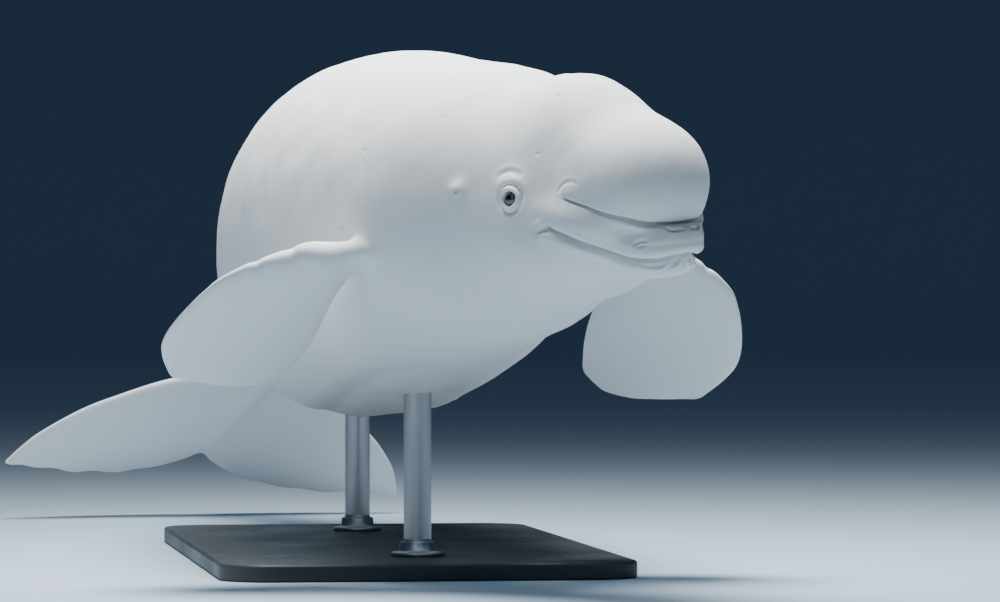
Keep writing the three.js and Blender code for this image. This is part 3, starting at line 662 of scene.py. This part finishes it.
class Wire:
    """A number on its way through a material: an expression on it adds the Math nodes."""

    def __init__(self, socket):
        self.socket = socket

    @staticmethod
    def node(tree, kind, settings, sockets):
        made = tree.nodes.new("ShaderNode" + kind)
        for name, value in settings.items():
            if name == "stops":
                ramp_of = made.color_ramp
                while len(ramp_of.elements) < len(value):
                    ramp_of.elements.new(0.5)
                for element, (position, colour) in zip(ramp_of.elements, value):
                    element.position, element.color = position, colour
            else:
                setattr(made, name, value)
        for name, value in sockets.items():
            socket = made.inputs[name]
            if isinstance(value, Wire):
                tree.links.new(value.socket, socket)
            else:
                socket.default_value = value
        return made

    def maths(self, operation, *numbers):
        tree = self.socket.id_data
        made = Wire.node(tree, "Math", {"operation": operation}, dict(enumerate(numbers)))
        return Wire(made.outputs[0])

    def __add__(self, other):
        return self.maths("ADD", self, other)

    def __mul__(self, other):
        return self.maths("MULTIPLY", self, other)

    def __sub__(self, other):
        return self.maths("SUBTRACT", self, other)

    def __rsub__(self, other):
        return self.maths("SUBTRACT", other, self)

    __radd__ = __add__
    __rmul__ = __mul__

    def step(self, start, stop):
        tree = self.socket.id_data
        sockets = {"Value": self, "From Min": start, "From Max": stop}
        return Wire(Wire.node(tree, "MapRange", {"interpolation_type": "SMOOTHSTEP"}, sockets).outputs[0])


def new_finish(name):
    material = bpy.data.materials.new(name)
    material.use_nodes = True
    tree = material.node_tree
    return material, tree, tree.nodes["Principled BSDF"]


def white_skin():
    material, tree, shader = new_finish("white_skin")
    shader.inputs["Specular IOR Level"].default_value = 0.5
    shader.inputs["Coat Roughness"].default_value = 0.12
    shader.inputs["Coat IOR"].default_value = 1.38
    place = Wire(Wire.node(tree, "TexCoord", {}, {}).outputs["Object"])
    stretched = Wire(Wire.node(tree, "Mapping", {}, {"Vector": place, "Scale": (2.2, 0.7, 2.2)}).outputs[0])

    def noise(coordinates, scale, detail, roughness):
        sockets = {"Vector": coordinates, "Scale": scale, "Detail": detail, "Roughness": roughness}
        return Wire(Wire.node(tree, "TexNoise", {}, sockets).outputs[0])

    def mark(name):
        return Wire(Wire.node(tree, "Attribute", {"attribute_name": name}, {}).outputs["Fac"])

    def mixed(factor, first, second):
        made = Wire.node(tree, "Mix", {"data_type": "RGBA"}, {"Factor": factor})
        for number, colour in ((6, first), (7, second)):
            if isinstance(colour, Wire):
                tree.links.new(colour.socket, made.inputs[number])
            else:
                made.inputs[number].default_value = (*colour, 1)
        return Wire(made.outputs[2])

    clouds = noise(place, 5, 4, 0.55)
    mottle = noise(place, 34, 5, 0.62)
    streaks = noise(stretched, 26, 6, 0.70)
    cells = Wire.node(tree, "TexVoronoi", {"feature": "F1"}, {"Vector": place, "Scale": 46})
    pits = Wire(cells.outputs["Distance"])
    pit = (1 - pits.step(0.03, 0.10)) * noise(place, 9, 2, 0.5).step(0.56, 0.66)
    colour = mixed(clouds.step(0.36, 0.68), (0.80, 0.84, 0.86), (0.64, 0.70, 0.75))
    colour = mixed(mottle.step(0.48, 0.74) * 0.55, colour, (0.55, 0.61, 0.66))
    colour = mixed(streaks.step(0.58, 0.72) * 0.40, colour, (0.50, 0.55, 0.60))
    colour = mixed(mark("blade") * 0.30, colour, (0.58, 0.63, 0.66))
    colour = mixed(pit * 0.5, colour, (0.42, 0.46, 0.50))
    colour = mixed(mark("lid") * 0.7, colour, (0.26, 0.30, 0.36))
    # Painted shade: the "fold" mark darkens the skin in creases, openings and pits, where shade falls.
    colour = mixed(mark("fold") * 0.70, colour, (0.20, 0.24, 0.30))
    rough = 0.30 + 0.20 * mottle.step(0.35, 0.70) + 0.15 * mark("fold")
    relief = 0.5 * mottle + 0.35 * streaks + 0.8 * clouds - 0.9 * pit + 0.12 * noise(place, 160, 3, 0.6)
    bump = Wire.node(tree, "Bump", {}, {"Height": relief, "Strength": 0.35, "Distance": 0.004})
    for name, value in (("Base Color", colour), ("Roughness", rough), ("Normal", Wire(bump.outputs[0]))):
        tree.links.new(value.socket, shader.inputs[name])
    shader.inputs["Coat Weight"].default_value = 0.25
    return material


skin.data.materials.append(white_skin())


# Eyes. A dark wet ball under a clear bulging front, set between the lids on each side.
EYE_RADIUS, EYE_INSET = 0.014, 0.0095


def eye_seat(side):
    at = reach(np.array([EYE[0], 0, EYE[1]]), np.array([[0, float(side), 0]]))[0]
    step = 0.001
    d = plain_distance(*at[:, None])
    slope = np.array([(plain_distance(*(at + step * np.eye(3)[k])[:, None]) - d)[0] for k in range(3)])
    slope /= np.linalg.norm(slope)
    turn = spine_at(at[0])[1]
    out = turn @ np.array([-slope[0], slope[1], slope[2]])
    return laid(at[None])[0] - EYE_INSET * out, out


def wet_eye():
    material, tree, shader = new_finish("wet_eye")
    shader.inputs["Coat Weight"].default_value = 1.0
    shader.inputs["Coat Roughness"].default_value = 0.02
    place = Wire(Wire.node(tree, "TexCoord", {}, {}).outputs["Object"])
    cloud = Wire(Wire.node(tree, "TexNoise", {}, {"Vector": place, "Scale": 240, "Detail": 3}).outputs[0])
    front = Wire(Wire.node(tree, "Attribute", {"attribute_name": "front"}, {}).outputs["Fac"])
    made = Wire.node(tree, "Mix", {"data_type": "RGBA"}, {"Factor": (front + 0.06 * cloud).step(0.90, 0.955)})
    made.inputs[6].default_value = (0.070, 0.085, 0.115, 1)
    made.inputs[7].default_value = (0.006, 0.007, 0.012, 1)
    tree.links.new(made.outputs[2], shader.inputs["Base Color"])
    tree.links.new((0.08 + 0.08 * cloud).socket, shader.inputs["Roughness"])
    return material


eye_finish = wet_eye()
for side, hand in ((1, "left"), (-1, "right")):
    ball = bmesh.new()
    forward = ball.verts.layers.float.new("front")
    bmesh.ops.create_uvsphere(ball, u_segments=40, v_segments=26, radius=EYE_RADIUS)
    for vertex in ball.verts:
        front = max(vertex.co.z / EYE_RADIUS, 0)
        vertex[forward] = front
        vertex.co *= 1 + 0.04 * float(ramp(front, 0.72, 1.0))
    centre, out = eye_seat(side)
    turn = Vector((0, 0, 1)).rotation_difference(Vector(out)).to_matrix().to_4x4()
    turn.translation = Vector(centre)
    bmesh.ops.transform(ball, matrix=turn, verts=ball.verts)
    eye_mesh = bpy.data.meshes.new("eyeball_" + hand)
    ball.to_mesh(eye_mesh)
    ball.free()
    eye_mesh.shade_smooth()
    eyeball = put("eyeball_" + hand, eye_mesh)
    eyeball.data.materials.append(eye_finish)
    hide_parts("eye_" + hand)
    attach(eyeball, "root")


# Stand. A painted steel base plate on the floor and two brushed steel rods, each in a turned
# socket on the plate, that rise to the belly and carry the animal.
def painted_plate():
    material, tree, shader = new_finish("painted_plate")
    place = Wire(Wire.node(tree, "TexCoord", {}, {}).outputs["Object"])
    grain = Wire(Wire.node(tree, "TexNoise", {}, {"Vector": place, "Scale": 420, "Detail": 4}).outputs[0])
    dust = Wire(Wire.node(tree, "TexNoise", {}, {"Vector": place, "Scale": 4, "Detail": 6}).outputs[0])
    made = Wire.node(tree, "Mix", {"data_type": "RGBA"}, {"Factor": dust.step(0.4, 0.75) * 0.5})
    made.inputs[6].default_value = (0.040, 0.045, 0.052, 1)
    made.inputs[7].default_value = (0.085, 0.090, 0.098, 1)
    tree.links.new(made.outputs[2], shader.inputs["Base Color"])
    tree.links.new((0.38 + 0.22 * dust.step(0.3, 0.7)).socket, shader.inputs["Roughness"])
    bump = Wire.node(tree, "Bump", {}, {"Height": grain, "Strength": 0.2, "Distance": 0.0004})
    tree.links.new(bump.outputs[0], shader.inputs["Normal"])
    return material


def brushed_rod():
    material, tree, shader = new_finish("brushed_rod")
    shader.inputs["Metallic"].default_value = 1.0
    place = Wire(Wire.node(tree, "TexCoord", {}, {}).outputs["Object"])
    drawn = Wire(Wire.node(tree, "Mapping", {}, {"Vector": place, "Scale": (60, 60, 900)}).outputs[0])
    lines = Wire(Wire.node(tree, "TexNoise", {}, {"Vector": drawn, "Scale": 1, "Detail": 4}).outputs[0])
    made = Wire.node(tree, "Mix", {"data_type": "RGBA"}, {"Factor": lines})
    made.inputs[6].default_value = (0.46, 0.47, 0.49, 1)
    made.inputs[7].default_value = (0.62, 0.63, 0.65, 1)
    tree.links.new(made.outputs[2], shader.inputs["Base Color"])
    tree.links.new((0.26 + 0.16 * lines).socket, shader.inputs["Roughness"])
    bump = Wire.node(tree, "Bump", {}, {"Height": lines, "Strength": 0.15, "Distance": 0.0003})
    tree.links.new(bump.outputs[0], shader.inputs["Normal"])
    return material


def rounded_plate(low, high, corner, edge):
    """Plate with round corners and a rounded rim, from rings that rise round it."""
    half_x, half_y = (high[0] - low[0]) / 2, (high[1] - low[1]) / 2
    rings = []
    lifts = [(0.0, 0.003), (0.003, 0.0)]
    lifts += [(high[2] - low[2] - edge + edge * math.sin(a), edge - edge * math.cos(a)) for a in
              np.linspace(0, math.pi / 2, 7)]
    for rise, inset in lifts:
        ring = []
        for turn in range(4):
            for a in np.linspace(0, math.pi / 2, 13):
                angle = a + turn * math.pi / 2
                cx = (half_x - corner) * (1 if turn in (0, 3) else -1)
                cy = (half_y - corner) * (1 if turn in (0, 1) else -1)
                radius = corner - inset
                ring.append((cx + radius * math.cos(angle), cy + radius * math.sin(angle), low[2] + rise))
        rings.append(ring)
    whole = bmesh.new()
    rows = [[whole.verts.new(p) for p in ring] for ring in rings]
    for below, above in zip(rows, rows[1:]):
        for j in range(len(below)):
            k = (j + 1) % len(below)
            whole.faces.new((below[j], below[k], above[k], above[j]))
    whole.faces.new(rows[-1])
    whole.faces.new(rows[0][::-1])
    mesh = bpy.data.meshes.new("base_plate")
    whole.to_mesh(mesh)
    whole.free()
    return mesh


def turned(profile, centre, sides, name):
    whole = bmesh.new()
    rows = []
    for radius, height in profile:
        rows.append([whole.verts.new((
            centre[0] + radius * math.cos(2 * math.pi * j / sides),
            centre[1] + radius * math.sin(2 * math.pi * j / sides), height,
        )) for j in range(sides)])
    for below, above in zip(rows, rows[1:]):
        for j in range(sides):
            k = (j + 1) % sides
            whole.faces.new((below[j], below[k], above[k], above[j]))
    whole.faces.new(rows[-1])
    whole.faces.new(rows[0][::-1])
    mesh = bpy.data.meshes.new(name)
    whole.to_mesh(mesh)
    whole.free()
    return mesh


def smooth_by_angle(piece, degrees):
    piece.data.shade_smooth()
    piece.data.set_sharp_from_angle(angle=math.radians(degrees))


plate_low, plate_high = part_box("stand_base")
plate = put("base_plate", rounded_plate(plate_low, plate_high, 0.090, 0.006))
smooth_by_angle(plate, 40)
plate.data.materials.append(painted_plate())
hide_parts("stand_base")
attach(plate, "root")

rod_finish = brushed_rod()
for end in ("front", "rear"):
    low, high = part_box("stand_rod_" + end)
    foot = ((low[0] + high[0]) / 2, (low[1] + high[1]) / 2)
    base, radius = plate_high[2], 0.024
    profile = [(0.045, base), (0.046, base + 0.001), (0.046, base + 0.006), (0.0445, base + 0.0075),
               (0.034, base + 0.0090), (0.0318, base + 0.0110), (0.0308, base + 0.022),
               (0.0295, base + 0.0255), (0.0250, base + 0.0268), (0.0242, base + 0.0290),
               (radius, base + 0.031), (radius, high[2] + 0.004)]
    rod = put("rod_" + end, turned(profile, foot, 64, "rod_" + end))
    smooth_by_angle(rod, 50)
    rod.data.materials.append(rod_finish)
    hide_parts("stand_rod_" + end)
    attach(rod, "root")


# Stage. A plain pale floor that curves up into a wall all round, a wide soft light overhead
# and a weak one from the front, under a pale blue sky light.
def pale_paper():
    material, tree, shader = new_finish("pale_paper")
    shader.inputs["Roughness"].default_value = 0.9
    shader.inputs["Specular IOR Level"].default_value = 0.1
    shader.inputs["Base Color"].default_value = (0.46, 0.56, 0.66, 1)
    return material


bowl_profile = [(0.001, 0.0), (3, 0.0), (8, 0.0), (20, 0.0), (36, 0.0)]
bowl_profile += [(36 + 8 * math.sin(a), 8 - 8 * math.cos(a)) for a in np.linspace(0.1, math.pi / 2, 14)]
bowl_profile += [(44, 24.0)]
whole = bmesh.new()
rows = [[whole.verts.new((
    radius * math.cos(2 * math.pi * j / 96), radius * math.sin(2 * math.pi * j / 96), height
)) for j in range(96)] for radius, height in bowl_profile]
for below, above in zip(rows, rows[1:]):
    for j in range(96):
        whole.faces.new((below[j], below[(j + 1) % 96], above[(j + 1) % 96], above[j]))
whole.faces.new(rows[0])
bowl_mesh = bpy.data.meshes.new("floor")
whole.to_mesh(bowl_mesh)
whole.free()
bowl_mesh.shade_smooth()
floor = put("floor", bowl_mesh)
floor.data.materials.append(pale_paper())

for name, spot, size, power, colour in (
    ("top_light", (-0.1, -0.7, 3.3), 1.8, 330, (0.97, 1.0, 1.0)),
    ("front_light", (-3.0, -8.5, 5.0), 2.5, 24, (0.62, 0.82, 1.0)),
):
    lamp = bpy.data.lights.new(name, "AREA")
    lamp.size, lamp.energy, lamp.color = size, power, colour
    light = bpy.data.objects.new(name, lamp)
    light.location = spot
    light.rotation_euler = (Vector((0, -0.5, 0.6)) - Vector(spot)).to_track_quat("-Z", "Y").to_euler()
    bpy.context.scene.collection.objects.link(light)
sky = bpy.data.worlds.new("sky")
sky.use_nodes = True
sky.node_tree.nodes["Background"].inputs["Color"].default_value = (0.45, 0.68, 1.0, 1)
sky.node_tree.nodes["Background"].inputs["Strength"].default_value = 0.10
bpy.context.scene.world = sky
